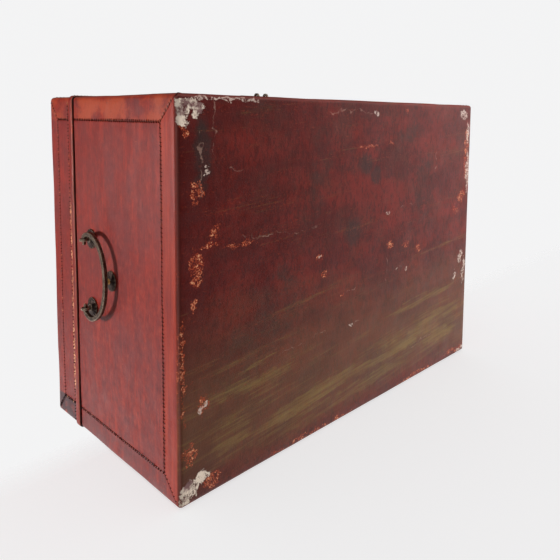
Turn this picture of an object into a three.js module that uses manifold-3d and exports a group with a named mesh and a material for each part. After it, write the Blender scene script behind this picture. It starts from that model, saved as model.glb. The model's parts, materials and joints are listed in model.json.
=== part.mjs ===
// A leather-covered wooden jewellery case, standing on its base with the shallow lid on top.
// Millimetres. The origin is the middle of the underside, +Z is up, the lock faces -Y, the
// hinges are on +Y, and the two bail handles hang on the -X (left) and +X (right) ends.
import * as THREE from "three";
import { RoundedBoxGeometry } from "three/addons/geometries/RoundedBoxGeometry.js";
import { mergeVertices } from "three/addons/utils/BufferGeometryUtils.js";
import Module from "manifold-3d";

const wasm = await Module();
wasm.setup();

// ---- Driving dimensions ------------------------------------------------------------------
const LENGTH = 412; // left end to right end
const DEPTH = 300; // front to back
const HEIGHT = 207; // underside to the top of the lid
const SPLIT = 158; // height of the joint between body and lid
const EDGE = 3.5; // radius of every outer edge
const SKIN = 2; // leather
const WOOD = 8.7; // boards
const LINING = 1;
const GAP = 0.3; // clearance between neighbouring pieces

const BORDER = 20; // leather that folds round each edge of the body
const LID_BORDER = 16.5; // leather that folds down from the lid's top
const SEAM = 0.3; // slit between two leathers sewn edge to edge
const LEATHER_BACK = 0.8; // how far the leather stops short of the joint
const BAND = { tall: 8.4, proud: 1.2 }; // rim band round the lid's lower edge

const HALF_L = LENGTH / 2;
const HALF_D = DEPTH / 2;

const MATERIALS = {
  sideLeather: paint(0x8c4640, 0.5, 0),
  baseLeather: paint(0x55211c, 0.5, 0),
  band: paint(0x7e3b36, 0.55, 0),
  wood: paint(0x8a6742, 0.8, 0),
  lining: paint(0x6b2a26, 0.95, 0),
  brass: paint(0x6b5a3c, 0.45, 0.9),
  iron: paint(0x4a443c, 0.55, 0.8),
};

function paint(color, roughness, metalness) {
  return new THREE.MeshStandardMaterial({ color, roughness, metalness });
}

// ---- Solids from three.js geometry -------------------------------------------------------
function solid(geometry) {
  const bare = geometry.clone();
  bare.deleteAttribute("normal");
  bare.deleteAttribute("uv");
  const merged = mergeVertices(bare, 1e-4);
  const vertProperties = merged.attributes.position.array;
  const triVerts = new Uint32Array(merged.index.array);
  return new wasm.Manifold(new wasm.Mesh({ numProp: 3, vertProperties, triVerts }));
}

function geometryOf(shape) {
  const mesh = shape.getMesh();
  const geometry = new THREE.BufferGeometry();
  geometry.setAttribute("position", new THREE.BufferAttribute(mesh.vertProperties, 3));
  geometry.setIndex(new THREE.BufferAttribute(mesh.triVerts, 1));
  const faceted = geometry.toNonIndexed();
  faceted.computeVertexNormals();
  return faceted;
}

// A box between two corners.
function block([x0, y0, z0], [x1, y1, z1]) {
  const box = new THREE.BoxGeometry(x1 - x0, y1 - y0, z1 - z0);
  return solid(box.translate((x0 + x1) / 2, (y0 + y1) / 2, (z0 + z1) / 2));
}

// The whole case's outer form with every face moved in by an inset, edges rounded.
function caseForm(inset) {
  const round = EDGE - inset;
  const box = new RoundedBoxGeometry(LENGTH - 2 * inset, DEPTH - 2 * inset, HEIGHT - 2 * inset, 2, round);
  return solid(box.translate(0, 0, HEIGHT / 2));
}

// The slice of space between two heights, wider than the case.
function slice(low, high) {
  return block([-LENGTH, -DEPTH, low], [LENGTH, DEPTH, high]);
}

// A straight round bar from one point to another, its end radius optionally smaller.
function bar(from, to, radius, endRadius = radius, sides = 16) {
  const start = new THREE.Vector3(...from);
  const along = new THREE.Vector3(...to).sub(start);
  const cylinder = new THREE.CylinderGeometry(endRadius, radius, along.length(), sides);
  cylinder.translate(0, along.length() / 2, 0);
  const turn = new THREE.Quaternion().setFromUnitVectors(new THREE.Vector3(0, 1, 0), along.normalize());
  cylinder.applyQuaternion(turn);
  return solid(cylinder.translate(start.x, start.y, start.z));
}

// An outline drawn in two row axes and extruded along the third: "x" takes [y, z] points and
// "y" takes [x, z] points.
function prism(axis, points, from, to) {
  const drawn = axis === "x" ? points : points.map(([x, z]) => [z, x]);
  const outline = new THREE.Shape(drawn.map(([a, b]) => new THREE.Vector2(a, b)));
  return extrudeOutline(axis, outline, from, to);
}

function extrudeOutline(axis, outline, from, to, curveSegments = 8) {
  const settings = { depth: to - from, bevelEnabled: false, curveSegments };
  const geometry = new THREE.ExtrudeGeometry(outline, settings).translate(0, 0, from);
  const [X, Y, Z] = [[1, 0, 0], [0, 1, 0], [0, 0, 1]].map((v) => new THREE.Vector3(...v));
  const frame = axis === "x" ? [Y, Z, X] : [Z, X, Y];
  return solid(geometry.applyMatrix4(new THREE.Matrix4().makeBasis(...frame)));
}

// ---- Leather cut out of the case's shell -------------------------------------------------
const shell = caseForm(0).subtract(caseForm(SKIN));
const boardForm = caseForm(SKIN + GAP);

// The border that folds round one horizontal face, mitred at the four vertical edges. It starts
// at height `face`, runs `tall` in direction `way`, and each edge is moved out by `grow`.
function foldedBorder(face, way, tall, grow) {
  const slope = BORDER / tall;
  const lean = Math.hypot(1, slope) * grow;
  const trapezoid = (half) => {
    const reach = (deep) => half - slope * deep + lean;
    const at = (deep) => face + way * deep;
    return [
      [-reach(-1), at(-1)],
      [reach(-1), at(-1)],
      [reach(tall + grow), at(tall + grow)],
      [-reach(tall + grow), at(tall + grow)],
    ];
  };
  const acrossFront = prism("y", trapezoid(HALF_L), -DEPTH, DEPTH);
  const acrossEnds = prism("x", trapezoid(HALF_D), -LENGTH, LENGTH);
  return acrossFront.add(acrossEnds);
}

// The four upright leathers between two heights. Front and back fold round onto the ends.
function uprightLeathers(low, high, border) {
  const skin = shell.intersect(slice(low, high)).subtract(border);
  const fold = HALF_D - BORDER;
  const cut = (from, to) => skin.intersect(block([from[0], from[1], low], [to[0], to[1], high]));
  return {
    front: cut([-LENGTH, -DEPTH], [LENGTH, -fold - SEAM / 2]),
    back: cut([-LENGTH, fold + SEAM / 2], [LENGTH, DEPTH]),
    left: cut([-LENGTH, -fold + SEAM / 2], [0, fold - SEAM / 2]),
    right: cut([0, -fold + SEAM / 2], [LENGTH, fold - SEAM / 2]),
  };
}

// ---- Boards and lining -------------------------------------------------------------------
const INNER_L = HALF_L - SKIN - GAP - WOOD; // inner faces of the end boards
const INNER_D = HALF_D - SKIN - GAP - WOOD; // inner faces of the front and back boards

// Front and back boards run the full length, and the end boards fit between them.
function uprightBoards(low, high) {
  const cut = (from, to) => boardForm.intersect(block([from[0], from[1], low], [to[0], to[1], high]));
  const between = INNER_D - GAP;
  return {
    front: cut([-LENGTH, -DEPTH], [LENGTH, -INNER_D]),
    back: cut([-LENGTH, INNER_D], [LENGTH, DEPTH]),
    left: cut([-LENGTH, -between], [-INNER_L, between]),
    right: cut([INNER_L, -between], [LENGTH, between]),
  };
}

// An open tray: its closed side is at height `shut` and its mouth at height `mouth`.
function tray(shut, mouth) {
  const outer = [INNER_L - GAP, INNER_D - GAP];
  const inner = outer.map((half) => half - LINING);
  const way = Math.sign(mouth - shut);
  const [low, high] = [Math.min(shut, mouth), Math.max(shut, mouth)];
  const hollow = [shut + way * LINING, mouth + way].sort((a, b) => a - b);
  const full = block([-outer[0], -outer[1], low], [outer[0], outer[1], high]);
  return full.subtract(block([-inner[0], -inner[1], hollow[0]], [inner[0], inner[1], hollow[1]]));
}

const FLOOR = SKIN + GAP + WOOD; // top of the bottom board
const CEILING = HEIGHT - FLOOR; // underside of the lid's top board
const BODY_TOP = SPLIT - 0.2;
const LID_BOTTOM = SPLIT + 0.2;
const LEATHER_TOP = BODY_TOP - LEATHER_BACK;
const BAND_LOW = SPLIT + 0.6;
const BAND_HIGH = BAND_LOW + BAND.tall;

const base = foldedBorder(0, 1, BORDER, -SEAM / 2);
const crown = foldedBorder(HEIGHT, -1, LID_BORDER, -SEAM / 2);
const bodyLeather = uprightLeathers(0, LEATHER_TOP, foldedBorder(0, 1, BORDER, SEAM / 2));
const lidBorder = foldedBorder(HEIGHT, -1, LID_BORDER, SEAM / 2);
const lidLeather = uprightLeathers(BAND_HIGH + GAP, HEIGHT, lidBorder);
const bodyBoards = uprightBoards(FLOOR + GAP, BODY_TOP);
const lidBoards = uprightBoards(LID_BOTTOM, CEILING - GAP);
const bottomLeather = shell.intersect(base);
const lidTopLeather = shell.intersect(crown);
const bottomBoard = boardForm.intersect(slice(0, FLOOR));
const lidTopBoard = boardForm.intersect(slice(CEILING, HEIGHT));
const rimBand = caseForm(-BAND.proud).subtract(caseForm(SKIN)).intersect(slice(BAND_LOW, BAND_HIGH));

// ---- Bail handles, modelled for the left end and turned round for the right --------------
const HANDLE = {
  pivotZ: 129,
  standoff: 6.6, // pivot axis to the leather
  halfSpan: 29.7, // posts from the middle
  halfWidth: 35.9, // widest part of the bail's centre line
  gripZ: 93.2, // centre line of the grip at its lowest
  rod: 1.75, // radius
  hole: 2.15, // radius of the post's eye
  eye: 3.9, // outer radius of the post's eye
  eyeThick: 3,
  shank: 1.5,
  shankDeep: 7,
};
const ROSETTE = { radius: 8.8, thick: 2.2, hole: 1.9 };
const STOP = { z: 95.4, head: 2.4, proud: 4.4, shank: 1.2, hole: 1.5 };
const END = -HALF_L; // face of the left end
const PIVOT_X = END - HANDLE.standoff;
const SHANK_IN = END + HANDLE.shankDeep;

function bailSolid() {
  const { halfSpan, halfWidth, pivotZ, gripZ } = HANDLE;
  const half = [
    [halfSpan - 4.2, pivotZ],
    [halfSpan, pivotZ],
    [halfSpan + 2.6, pivotZ - 0.3],
    [halfWidth - 1, pivotZ - 4.4],
    [halfWidth, pivotZ - 11],
    [halfWidth - 2.6, pivotZ - 19],
    [halfWidth * 0.72, pivotZ - 28],
    [halfWidth * 0.38, pivotZ - 34],
  ];
  const mirrored = half.map(([y, z]) => [-y, z]);
  const route = [...half, [0, gripZ], ...mirrored.reverse()];
  const curve = new THREE.CatmullRomCurve3(route.map(([y, z]) => new THREE.Vector3(PIVOT_X, y, z)));
  const section = new THREE.Shape().absarc(0, 0, HANDLE.rod, 0, 2 * Math.PI);
  const settings = { steps: 40, curveSegments: 5, bevelEnabled: false, extrudePath: curve };
  return solid(new THREE.ExtrudeGeometry(section, settings));
}

// An eye on a shank: a flat ring whose hole lies along Y, with its stem going into the case.
function post(y) {
  const ring = new THREE.Shape().absarc(HANDLE.pivotZ, PIVOT_X, HANDLE.eye, 0, 2 * Math.PI);
  ring.holes.push(new THREE.Path().absarc(HANDLE.pivotZ, PIVOT_X, HANDLE.hole, 0, 2 * Math.PI, true));
  const eye = extrudeOutline("y", ring, y - HANDLE.eyeThick / 2, y + HANDLE.eyeThick / 2);
  const neck = PIVOT_X + (HANDLE.hole + HANDLE.eye) / 2;
  return eye.add(bar([neck, y, HANDLE.pivotZ], [SHANK_IN, y, HANDLE.pivotZ], HANDLE.shank));
}

// A domed washer with a thin rim, lying on the end leather.
function rosette(y, z) {
  const { radius, thick, hole } = ROSETTE;
  const profile = [
    [hole, 0],
    [radius, 0],
    [radius, 0.7],
    [radius * 0.86, 1.1],
    [radius * 0.6, thick],
    [hole, thick],
    [hole, 0],
  ];
  const washer = new THREE.LatheGeometry(profile.map(([r, h]) => new THREE.Vector2(r, h)), 22);
  washer.rotateZ(Math.PI / 2).translate(END - GAP, y, z);
  return solid(washer);
}

function stopStud() {
  const seat = END - GAP - ROSETTE.thick - GAP;
  const head = bar([seat, 0, STOP.z], [END - STOP.proud, 0, STOP.z], STOP.head, STOP.head * 0.6);
  return head.add(bar([seat - 0.5, 0, STOP.z], [SHANK_IN, 0, STOP.z], STOP.shank));
}

// Holes for the handle's shanks in the end leather and board, for either end.
function drillEnd(piece, side) {
  const drill = (y, z, radius) => {
    const hole = bar([END - 1, y, z], [SHANK_IN + GAP, y, z], radius + GAP);
    return side < 0 ? hole : hole.rotate([0, 0, 180]);
  };
  return piece
    .subtract(drill(HANDLE.halfSpan, HANDLE.pivotZ, HANDLE.shank))
    .subtract(drill(-HANDLE.halfSpan, HANDLE.pivotZ, HANDLE.shank))
    .subtract(drill(0, STOP.z, STOP.shank));
}

// ---- Hinges on the back ------------------------------------------------------------------
const HINGE = {
  x: 120, // middle of each hinge
  axisY: HALF_D + 3.9,
  barrel: 2.4, // outer radius
  bore: 1.3,
  pin: 1,
  halfWide: 17,
  leaf: 1, // thickness
  tall: 20,
  nailX: 10.5,
  bodyNailZ: 143,
  lidNailZ: 173,
};
const MIDDLE_KNUCKLE = 6.7; // half length
const BODY_LEAF_Y = HALF_D + GAP;
const LID_LEAF_Y = HALF_D + BAND.proud + GAP;

function knuckle(x0, x1) {
  const outer = bar([x0, HINGE.axisY, SPLIT], [x1, HINGE.axisY, SPLIT], HINGE.barrel);
  return outer.subtract(bar([x0 - 1, HINGE.axisY, SPLIT], [x1 + 1, HINGE.axisY, SPLIT], HINGE.bore));
}

// The web that carries a knuckle on its leaf, a little shorter than the knuckle and trimmed back
// so that the bore stays open.
function web(x0, x1, leafY, low, high) {
  const strip = block([x0 + 0.5, leafY + 0.2, low], [x1 - 0.5, HINGE.axisY - 0.3, high]);
  return strip.subtract(bar([x0 - 1, HINGE.axisY, SPLIT], [x1 + 1, HINGE.axisY, SPLIT], HINGE.bore + 0.4));
}

function nailHoles(leafY, z) {
  const drill = (x) => bar([x, leafY - 1, z], [x, leafY + 3, z], NAIL.shank + GAP);
  return drill(-HINGE.nailX).add(drill(HINGE.nailX));
}

function bodyHingeLeaf() {
  const top = SPLIT - HINGE.barrel - GAP;
  const plate = block([-HINGE.halfWide, BODY_LEAF_Y, top - HINGE.tall],
    [HINGE.halfWide, BODY_LEAF_Y + HINGE.leaf, top]);
  const ends = [[-HINGE.halfWide, -MIDDLE_KNUCKLE - GAP], [MIDDLE_KNUCKLE + GAP, HINGE.halfWide]];
  const knuckles = ends.map(([a, b]) => knuckle(a, b).add(web(a, b, BODY_LEAF_Y, top - 1, SPLIT - 1)));
  return plate.add(knuckles[0]).add(knuckles[1]).subtract(nailHoles(BODY_LEAF_Y, HINGE.bodyNailZ));
}

function lidHingeLeaf() {
  const low = SPLIT + HINGE.barrel + GAP;
  const plate = block([-HINGE.halfWide, LID_LEAF_Y, low],
    [HINGE.halfWide, LID_LEAF_Y + HINGE.leaf, low + HINGE.tall]);
  const [a, b] = [-MIDDLE_KNUCKLE, MIDDLE_KNUCKLE];
  const middle = knuckle(a, b).add(web(a, b, LID_LEAF_Y, SPLIT + 1, low + 1));
  return plate.add(middle).subtract(nailHoles(LID_LEAF_Y, HINGE.lidNailZ));
}

function hingePin() {
  const end = HINGE.halfWide + GAP;
  const line = (x0, x1, r) => bar([x0, HINGE.axisY, SPLIT], [x1, HINGE.axisY, SPLIT], r, r, 12);
  return line(-end - 0.5, end + 0.5, HINGE.pin)
    .add(line(-end - 0.8, -end, 1.8))
    .add(line(end, end + 0.8, 1.8));
}

// ---- Nails -------------------------------------------------------------------------------
const NAIL = { head: 1.9, headTall: 0.9, shank: 0.7, deep: 9 };

// A nail driven towards `inward` (+1 is +Y, -1 is -Y), its head resting at y on a plate.
function nail(x, y, z, inward) {
  const head = bar([x, y, z], [x, y - inward * NAIL.headTall, z], NAIL.head, NAIL.head * 0.55, 12);
  return head.add(bar([x, y - inward * 0.3, z], [x, y + inward * NAIL.deep, z], NAIL.shank, NAIL.shank, 10));
}

function nailDrill(x, y, z, inward) {
  return bar([x, y - inward, z], [x, y + inward * (NAIL.deep + GAP), z], NAIL.shank + GAP, NAIL.shank + GAP, 10);
}

// ---- Lock on the front -------------------------------------------------------------------
const LOCK = {
  plate: 0.8, // thickness of both plates
  halfWide: 19,
  bodyLow: 127,
  bodyHigh: 156.4,
  lidLow: 160,
  lidHigh: 189,
  hingeZ: 163,
  hingeOut: 5.2, // hasp hinge axis to the front leather
  barrel: 2.4,
  bore: 1.2,
  pin: 0.9,
  haspHalf: 14, // half width of the hasp
  haspLong: 29,
  haspThick: 1.4,
  lean: THREE.MathUtils.degToRad(7), // the folded-up hasp leans on the lid
  lidNail: { x: 16.6, z: 184 },
};
const STAPLE = { x: 6.4, z: 145, out: 6.3, ring: 3.5, hole: 1.7, thick: 2.2, shank: 1.1, deep: 8 };
const SLOT = { near: 13.8, far: 22.4, wide: 3.6 };
const FRONT = -HALF_D;
const HASP_Y = FRONT - LOCK.hingeOut;
const LID_PLATE_Y = FRONT - BAND.proud - GAP; // back face of the lid's plate
const BODY_PLATE_Y = FRONT - GAP;
const HASP_KNUCKLE = 8.4; // half length of the hasp's own knuckle

function haspKnuckle(x0, x1, y, z) {
  const outer = bar([x0, y, z], [x1, y, z], LOCK.barrel);
  return outer.subtract(bar([x0 - 1, y, z], [x1 + 1, y, z], LOCK.bore));
}

function lidLockPlate() {
  const plate = block([-LOCK.halfWide, LID_PLATE_Y - LOCK.plate, LOCK.lidLow],
    [LOCK.halfWide, LID_PLATE_Y, LOCK.lidHigh]);
  const ends = [[-LOCK.haspHalf, -HASP_KNUCKLE - GAP], [HASP_KNUCKLE + GAP, LOCK.haspHalf]];
  let whole = plate;
  for (const [a, b] of ends) {
    const strip = block([a, HASP_Y, LOCK.hingeZ - 1.6], [b, LID_PLATE_Y - 0.2, LOCK.hingeZ + 0.2]);
    const clear = bar([a - 1, HASP_Y, LOCK.hingeZ], [b + 1, HASP_Y, LOCK.hingeZ], LOCK.bore + 0.3);
    whole = whole.add(haspKnuckle(a, b, HASP_Y, LOCK.hingeZ)).add(strip.subtract(clear));
  }
  for (const x of [-LOCK.lidNail.x, LOCK.lidNail.x])
    whole = whole.subtract(nailDrill(x, LID_PLATE_Y - LOCK.plate, LOCK.lidNail.z, 1));
  return whole;
}

// The hasp in its own axes: hinge along X at the origin, free end up, plate level with the
// front of the barrel, so that it lies close to the body once it is turned down.
function haspSolid() {
  const { haspHalf, haspLong, haspThick } = LOCK;
  const back = haspThick - LOCK.barrel;
  const low = LOCK.barrel + GAP; // clear of the lid plate's knuckles
  const corner = 9;
  // Outline points are [z, x]: extrudeOutline("y") takes them in that order.
  const outline = new THREE.Shape();
  outline.moveTo(low, -haspHalf);
  outline.lineTo(haspLong - corner, -haspHalf);
  outline.quadraticCurveTo(haspLong, -haspHalf, haspLong, 0);
  outline.quadraticCurveTo(haspLong, haspHalf, haspLong - corner, haspHalf);
  outline.lineTo(low, haspHalf);
  outline.closePath();
  for (const x of [-STAPLE.x, STAPLE.x]) {
    const slot = new THREE.Path();
    slot.moveTo(SLOT.near, x - SLOT.wide / 2);
    slot.lineTo(SLOT.near, x + SLOT.wide / 2);
    slot.lineTo(SLOT.far, x + SLOT.wide / 2);
    slot.lineTo(SLOT.far, x - SLOT.wide / 2);
    slot.closePath();
    outline.holes.push(slot);
  }
  const plate = extrudeOutline("y", outline, -LOCK.barrel, back);
  const tongue = block([-HASP_KNUCKLE + 0.4, -LOCK.barrel + 0.1, 0.5], [HASP_KNUCKLE - 0.4, back - 0.1, low + 1]);
  return plate.add(tongue).add(haspKnuckle(-HASP_KNUCKLE, HASP_KNUCKLE, 0, 0));
}

function haspPin() {
  const end = LOCK.haspHalf + GAP;
  const line = (x0, x1, r) => bar([x0, HASP_Y, LOCK.hingeZ], [x1, HASP_Y, LOCK.hingeZ], r, r, 12);
  return line(-end - 0.5, end + 0.5, LOCK.pin)
    .add(line(-end - 0.7, -end, 1.5))
    .add(line(end, end + 0.7, 1.5));
}

const STAPLE_IN = FRONT + STAPLE.deep;

function staple(x) {
  const y = FRONT - STAPLE.out;
  const ring = new THREE.Shape().absarc(y, STAPLE.z, STAPLE.ring, 0, 2 * Math.PI);
  ring.holes.push(new THREE.Path().absarc(y, STAPLE.z, STAPLE.hole, 0, 2 * Math.PI, true));
  const loop = extrudeOutline("x", ring, x - STAPLE.thick / 2, x + STAPLE.thick / 2);
  const neck = y + (STAPLE.ring + STAPLE.hole) / 2;
  return loop.add(bar([x, neck, STAPLE.z], [x, STAPLE_IN, STAPLE.z], STAPLE.shank));
}

function stapleDrills() {
  const drill = (x) => bar([x, FRONT - 2, STAPLE.z], [x, STAPLE_IN + GAP, STAPLE.z], STAPLE.shank + GAP);
  return drill(-STAPLE.x).add(drill(STAPLE.x));
}

function bodyLockPlate() {
  const plate = block([-LOCK.halfWide, BODY_PLATE_Y - LOCK.plate, LOCK.bodyLow],
    [LOCK.halfWide, BODY_PLATE_Y, LOCK.bodyHigh]);
  return plate.subtract(stapleDrills());
}

// ---- Nail holes in the leather and boards behind the metalwork ---------------------------
const HINGE_SIDES = { left: -HINGE.x, right: HINGE.x };
const BODY_NAIL_Y = BODY_LEAF_Y + HINGE.leaf + GAP; // where the heads rest
const LID_NAIL_Y = LID_LEAF_Y + HINGE.leaf + GAP;
const LOCK_NAIL_Y = LID_PLATE_Y - LOCK.plate - GAP;

function drillBack(piece, y, z) {
  let drilled = piece;
  for (const x of Object.values(HINGE_SIDES)) {
    drilled = drilled
      .subtract(nailDrill(x - HINGE.nailX, y, z, -1))
      .subtract(nailDrill(x + HINGE.nailX, y, z, -1));
  }
  return drilled;
}

function drillLidFront(piece) {
  return [-LOCK.lidNail.x, LOCK.lidNail.x].reduce(
    (drilled, x) => drilled.subtract(nailDrill(x, LOCK_NAIL_Y, LOCK.lidNail.z, 1)),
    piece,
  );
}

// ---- The assembly ------------------------------------------------------------------------
const jewelleryCase = new THREE.Group();
const body = new THREE.Group();
const lid = new THREE.Group();
const leftEnd = new THREE.Group();
const rightEnd = new THREE.Group();
const hasp = new THREE.Group();
rightEnd.rotation.z = Math.PI;
hasp.position.set(0, HASP_Y, LOCK.hingeZ);
hasp.rotation.x = -LOCK.lean;
jewelleryCase.add(body, lid);
body.add(leftEnd, rightEnd);
lid.add(hasp);

function add(group, name, shape, material) {
  const mesh = new THREE.Mesh(geometryOf(shape), MATERIALS[material]);
  mesh.name = name;
  group.add(mesh);
  return mesh;
}

add(body, "bottom_board", bottomBoard, "wood");
add(body, "front_board", bodyBoards.front.subtract(stapleDrills()), "wood");
add(body, "back_board", drillBack(bodyBoards.back, BODY_NAIL_Y, HINGE.bodyNailZ), "wood");
add(body, "left_board", drillEnd(bodyBoards.left, -1), "wood");
add(body, "right_board", drillEnd(bodyBoards.right, 1), "wood");
add(body, "body_lining", tray(FLOOR + GAP, BODY_TOP - 0.4), "lining");
add(body, "bottom_leather", bottomLeather, "baseLeather");
add(body, "front_leather", bodyLeather.front.subtract(stapleDrills()), "sideLeather");
add(body, "back_leather", drillBack(bodyLeather.back, BODY_NAIL_Y, HINGE.bodyNailZ), "sideLeather");
add(body, "left_leather", drillEnd(bodyLeather.left, -1), "sideLeather");
add(body, "right_leather", drillEnd(bodyLeather.right, 1), "sideLeather");

add(lid, "lid_top_board", lidTopBoard, "wood");
add(lid, "lid_front_board", drillLidFront(lidBoards.front), "wood");
add(lid, "lid_back_board", drillBack(lidBoards.back, LID_NAIL_Y, HINGE.lidNailZ), "wood");
add(lid, "lid_left_board", lidBoards.left, "wood");
add(lid, "lid_right_board", lidBoards.right, "wood");
add(lid, "lid_lining", tray(CEILING - GAP, LID_BOTTOM + 0.4), "lining");
add(lid, "lid_top_leather", lidTopLeather, "sideLeather");
add(lid, "lid_front_leather", drillLidFront(lidLeather.front), "sideLeather");
add(lid, "lid_back_leather", drillBack(lidLeather.back, LID_NAIL_Y, HINGE.lidNailZ), "sideLeather");
add(lid, "lid_left_leather", lidLeather.left, "sideLeather");
add(lid, "lid_right_leather", lidLeather.right, "sideLeather");
add(lid, "lid_rim_band", rimBand, "band");

for (const [side, end] of [["left", leftEnd], ["right", rightEnd]]) {
  const near = side === "left" ? "front" : "back"; // the turned end swaps front and back
  const far = side === "left" ? "back" : "front";
  add(end, `${side}_bail`, bailSolid(), "brass");
  for (const [where, y] of [[near, -HANDLE.halfSpan], [far, HANDLE.halfSpan]]) {
    add(end, `${side}_${where}_post`, post(y), "brass");
    add(end, `${side}_${where}_rosette`, rosette(y, HANDLE.pivotZ), "iron");
  }
  add(end, `${side}_stop_rosette`, rosette(0, STOP.z), "iron");
  add(end, `${side}_stop_stud`, stopStud(), "brass");
}

for (const [side, x] of Object.entries(HINGE_SIDES)) {
  const bodySide = new THREE.Group();
  const lidSide = new THREE.Group();
  bodySide.position.x = x;
  lidSide.position.x = x;
  body.add(bodySide);
  lid.add(lidSide);
  add(bodySide, `${side}_hinge_body_leaf`, bodyHingeLeaf(), "iron");
  add(bodySide, `${side}_hinge_pin`, hingePin(), "iron");
  add(lidSide, `${side}_hinge_lid_leaf`, lidHingeLeaf(), "iron");
  [-HINGE.nailX, HINGE.nailX].forEach((offset, i) => {
    const bodyNail = nail(offset, BODY_NAIL_Y, HINGE.bodyNailZ, -1);
    const lidNail = nail(offset, LID_NAIL_Y, HINGE.lidNailZ, -1);
    add(bodySide, `${side}_hinge_body_nail_${i + 1}`, bodyNail, "brass");
    add(lidSide, `${side}_hinge_lid_nail_${i + 1}`, lidNail, "brass");
  });
}

add(body, "body_lock_plate", bodyLockPlate(), "iron");
add(body, "left_staple", staple(-STAPLE.x), "brass");
add(body, "right_staple", staple(STAPLE.x), "brass");
add(lid, "lid_lock_plate", lidLockPlate(), "iron");
add(lid, "hasp_pin", haspPin(), "iron");
add(lid, "left_lock_nail", nail(-LOCK.lidNail.x, LOCK_NAIL_Y, LOCK.lidNail.z, 1), "brass");
add(lid, "right_lock_nail", nail(LOCK.lidNail.x, LOCK_NAIL_Y, LOCK.lidNail.z, 1), "brass");
add(hasp, "hasp", haspSolid(), "brass");

export default jewelleryCase;
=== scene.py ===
"""Looks of the leather jewellery case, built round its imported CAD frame.

Shapes are worked out in millimetres in the case's own frame and turned to metres when a mesh
is made. Each leather is a closed skin laid on the case's rounded box form.
"""
import json
import math
import random

import bmesh
import bpy
from mathutils import Matrix, Vector, noise


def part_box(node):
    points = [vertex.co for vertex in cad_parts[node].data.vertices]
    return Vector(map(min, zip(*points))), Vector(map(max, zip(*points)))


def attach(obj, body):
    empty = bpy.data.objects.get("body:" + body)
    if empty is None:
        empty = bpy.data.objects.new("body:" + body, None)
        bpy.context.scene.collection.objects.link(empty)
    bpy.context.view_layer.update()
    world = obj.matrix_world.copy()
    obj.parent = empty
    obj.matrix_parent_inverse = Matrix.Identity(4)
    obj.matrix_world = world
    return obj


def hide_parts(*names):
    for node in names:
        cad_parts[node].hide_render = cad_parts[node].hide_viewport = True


MM = 0.001
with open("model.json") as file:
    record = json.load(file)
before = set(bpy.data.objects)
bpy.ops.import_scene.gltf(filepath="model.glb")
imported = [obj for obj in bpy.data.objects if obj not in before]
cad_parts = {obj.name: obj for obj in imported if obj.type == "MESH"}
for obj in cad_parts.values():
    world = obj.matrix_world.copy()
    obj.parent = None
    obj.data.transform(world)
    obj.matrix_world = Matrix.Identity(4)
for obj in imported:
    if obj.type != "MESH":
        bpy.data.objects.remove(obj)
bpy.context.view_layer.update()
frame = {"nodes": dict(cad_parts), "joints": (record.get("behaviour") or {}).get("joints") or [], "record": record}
RECORD = frame["record"]
BODY_OF = {node: body for body, nodes in RECORD["behaviour"]["bodies"].items() for node in nodes}
SLOT_OF = {part["node"]: part["material_slot"] for part in RECORD["subparts"]}


def box(node):
    """Lowest and highest corner of a CAD node, in millimetres."""
    low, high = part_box(node)
    return low / MM, high / MM


def joint_at(name):
    """Where a joint's axis passes, in millimetres."""
    return Vector(next(j for j in frame["joints"] if j["name"] == name)["pos_m"]) / MM


# ---- Sizes read from the frame ------------------------------------------------------------
SEAM = 0.3  # slit between two leathers in the CAD
SLIT = 0.1  # the same with the leathers drawn together by their stitches
EDGE = 3.5  # radius of every outer edge
HALF_L, HALF_D, _ = box("bottom_leather")[1]
TOP = box("lid_top_leather")[1].z
PANEL_LOW, PANEL_HIGH = box("left_leather")
BORDER = PANEL_LOW.z - SEAM / 2  # how far leather folds round the body's edges
FOLD_Y = PANEL_HIGH.y + SEAM / 2
LEATHER_TOP = PANEL_HIGH.z + 0.4
BAND_LOW, BAND_HIGH = (corner.z for corner in box("lid_rim_band"))
BAND_PROUD = box("lid_rim_band")[1].x - HALF_L
LID_SEAM = box("lid_left_leather")[1].z + SEAM / 2
LID_BORDER = TOP - LID_SEAM
LID_LOW = box("lid_left_leather")[0].z
SPLIT = joint_at("lid_hinge").z
ENDS = (("left", -1), ("right", 1))  # each end's name and its way along X


def show(name, data):
    """A new object in the scene."""
    made = bpy.data.objects.new(name, data)
    bpy.context.scene.collection.objects.link(made)
    return made


# ---- Camera -------------------------------------------------------------------------------
CAMERA_AT = Vector((-425.2, -134.8, -332.9)) * MM
LOOKS_ALONG = Vector((0.7155, 0.0909, 0.6926))
PICTURE_UP = Vector((0.0, -1.0, 0.0))  # the case lies on its back, so its front faces up
ROLL = math.radians(0.579)


def add_camera():
    data = bpy.data.cameras.new("camera")
    camera = show("camera", data)
    data.lens = 36.79
    data.sensor_width = 36.0
    data.shift_x = -0.0419
    data.shift_y = -0.1985
    data.clip_start = 0.01
    back = -LOOKS_ALONG.normalized()
    right = PICTURE_UP.cross(back).normalized()
    up = back.cross(right)
    turn = Matrix((right, up, back)).transposed().to_4x4()
    camera.matrix_world = Matrix.Translation(CAMERA_AT) @ turn @ Matrix.Rotation(ROLL, 4, "Z")
    bpy.context.scene.camera = camera


# ---- Materials ----------------------------------------------------------------------------
def tone(red, green, blue):
    """A colour named by its 0 to 255 screen values, as linear light."""
    def linear(value):
        share = value / 255
        return share / 12.92 if share <= 0.04045 else ((share + 0.055) / 1.055) ** 2.4
    return (linear(red), linear(green), linear(blue), 1.0)


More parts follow.
